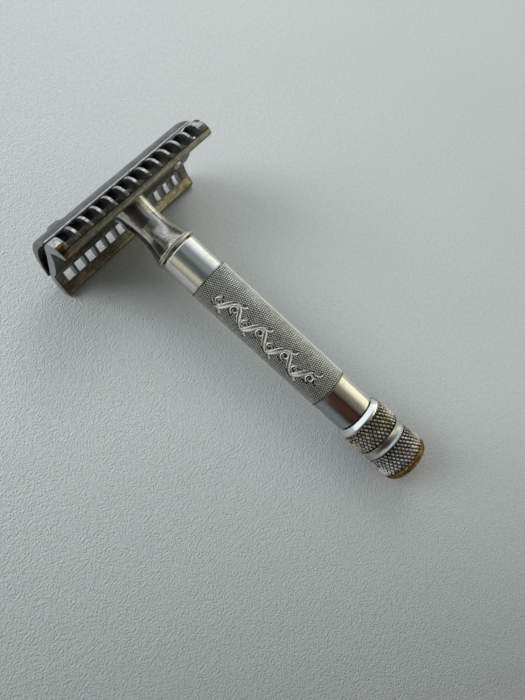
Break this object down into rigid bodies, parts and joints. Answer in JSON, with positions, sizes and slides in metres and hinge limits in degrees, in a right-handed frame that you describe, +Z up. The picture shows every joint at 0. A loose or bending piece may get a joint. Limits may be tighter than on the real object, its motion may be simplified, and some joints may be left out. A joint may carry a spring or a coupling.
{
  "type": "safety razor",
  "caption": "Double-edge safety razor: curved cap over a slotted guard on a flared neck, knurled handle, and a turning end knob that raises and lowers the cap.",
  "frame": {"origin": "centre of the footprint of the razor lying down, on the table", "axes": "+Y from the knob to the head along the handle, +Z up from the table, +X along the head; the razor lies on one safety bar and the rim of its knob, as in the picture"},
  "size_m": [0.043, 0.0926, 0.0231],
  "materials": {
    "polished_nickel": "polished nickel plate with fine scratches",
    "tarnished_nickel": "nickel plate gone warm and olive, brass showing at worn corners",
    "knurled_nickel": "knurled nickel plate with dirt in the grooves",
    "brass": "plain turned brass",
    "worn_brass": "brown worn brass",
    "steel": "plain turned steel"
  },
  "bodies": {
    "handle": {"guard_plate": "tarnished_nickel", "neck": "polished_nickel", "neck_rim": "polished_nickel", "handle_tube": "knurled_nickel", "upper_guide": "brass", "lower_guide": "brass"},
    "knob": {"knob_collar": "polished_nickel", "knob_core": "polished_nickel", "knob_ring_upper": "knurled_nickel", "knob_ring_lower": "knurled_nickel", "knob_end": "worn_brass", "knob_pin": "steel", "draw_rod": "steel", "rod_socket": "brass", "thrust_washer": "steel", "retaining_ring": "steel", "knob_washer": "steel"},
    "cap": {"cap_shell": "polished_nickel", "cap_stud": "brass", "locating_pin_left": "polished_nickel", "locating_pin_right": "polished_nickel"}
  },
  "joints": [
    {"name": "knob_turn", "type": "hinge", "parent": "handle", "child": "knob", "pos_m": [0, -0.02856, 0.00708], "axis": [0, -0.9978, -0.0666], "range_deg": [0, 1440]},
    {"name": "cap_lift", "type": "slide", "parent": "handle", "child": "cap", "axis": [0, 0.9978, 0.0666], "range_m": [0, 0.0032]}
  ],
  "couplings": [
    {"joint": "knob_turn", "follows": "cap_lift", "rad_per_m": 7854}
  ]
}
